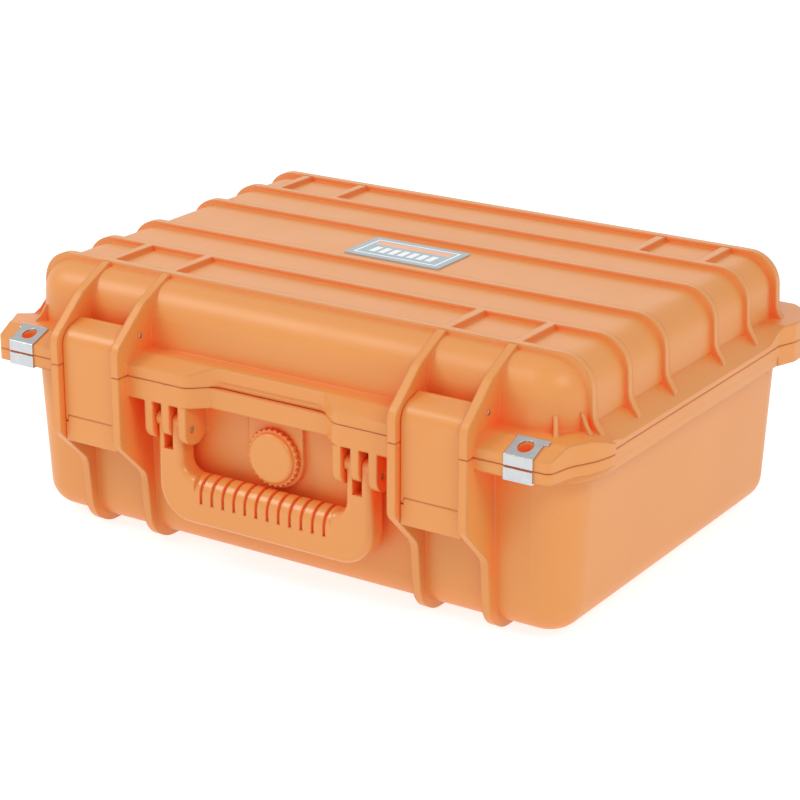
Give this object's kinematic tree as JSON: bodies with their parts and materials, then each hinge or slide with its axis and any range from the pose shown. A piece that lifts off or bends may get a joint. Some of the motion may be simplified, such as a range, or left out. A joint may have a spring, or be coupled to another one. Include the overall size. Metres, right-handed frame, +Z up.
{
  "type": "hard equipment case",
  "caption": "Rectangular moulded hard case with a ribbed hinged lid, front draw latches, swinging carry handle, padlock ears, purge valve and foam lining.",
  "frame": {"origin": "bottom centre of the closed case's overall box, on the plane the case rests on", "axes": "+Z up; the front with latches, handle and valve faces -Y; +X to the right seen from the front"},
  "size_m": [0.43, 0.335, 0.172],
  "materials": {
    "case_plastic": "matt, finely textured moulded polypropylene, orange",
    "latch_plastic": "matt moulded plastic, orange",
    "handle_plastic": "matt moulded plastic, orange",
    "knob_plastic": "matt moulded plastic, orange",
    "steel_pin": "ground stainless steel",
    "steel_plate": "bright pressed stainless steel",
    "valve_plastic": "black moulded plastic",
    "seal_rubber": "soft black rubber",
    "label_print": "grey printed label with a white border line",
    "grey_foam": "open-celled dark grey foam"
  },
  "bodies": {
    "base": {"base_shell": "case_plastic", "hinge_pin_left": "steel_pin", "hinge_pin_right": "steel_pin", "handle_pin_left": "steel_pin", "handle_pin_right": "steel_pin", "padlock_plate_base_left": "steel_plate", "padlock_plate_base_right": "steel_plate", "valve_body": "valve_plastic", "valve_oring": "seal_rubber", "valve_nut": "valve_plastic", "pluck_foam": "grey_foam", "base_foam": "grey_foam"},
    "lid": {"lid_shell": "case_plastic", "lid_gasket": "seal_rubber", "latch_pin_left": "steel_pin", "latch_pin_right": "steel_pin", "padlock_plate_lid_left": "steel_plate", "padlock_plate_lid_right": "steel_plate", "label_plate": "label_print", "lid_foam": "grey_foam"},
    "handle": {"handle": "handle_plastic"},
    "latch_link_left": {"latch_link_left": "latch_plastic", "latch_lever_pin_left": "steel_pin"},
    "latch_link_right": {"latch_link_right": "latch_plastic", "latch_lever_pin_right": "steel_pin"},
    "latch_lever_left": {"latch_lever_left": "latch_plastic"},
    "latch_lever_right": {"latch_lever_right": "latch_plastic"},
    "knob": {"valve_knob": "knob_plastic"}
  },
  "joints": [
    {"name": "lid_hinge", "type": "hinge", "parent": "base", "child": "lid", "pos_m": [0, 0.163, 0.118], "axis": [-1, 0, 0], "range_deg": [0, 100]},
    {"name": "handle_swing", "type": "hinge", "parent": "base", "child": "handle", "pos_m": [0, -0.152, 0.09], "axis": [-1, 0, 0], "range_deg": [0, 100]},
    {"name": "knob_turn", "type": "hinge", "parent": "base", "child": "knob", "pos_m": [0, -0.147, 0.0805], "axis": [0, -1, 0], "range_deg": [0, 270]},
    {"name": "latch_link_left", "type": "hinge", "parent": "lid", "child": "latch_link_left", "pos_m": [-0.12385, -0.145, 0.14], "axis": [-1, 0, 0], "range_deg": [0, 110]},
    {"name": "latch_lever_left", "type": "hinge", "parent": "latch_link_left", "child": "latch_lever_left", "pos_m": [-0.12385, -0.1598, 0.083], "axis": [-1, 0, 0], "range_deg": [0, 60]},
    {"name": "latch_link_right", "type": "hinge", "parent": "lid", "child": "latch_link_right", "pos_m": [0.12385, -0.145, 0.14], "axis": [-1, 0, 0], "range_deg": [0, 110]},
    {"name": "latch_lever_right", "type": "hinge", "parent": "latch_link_right", "child": "latch_lever_right", "pos_m": [0.12385, -0.1598, 0.083], "axis": [-1, 0, 0], "range_deg": [0, 60]}
  ]
}
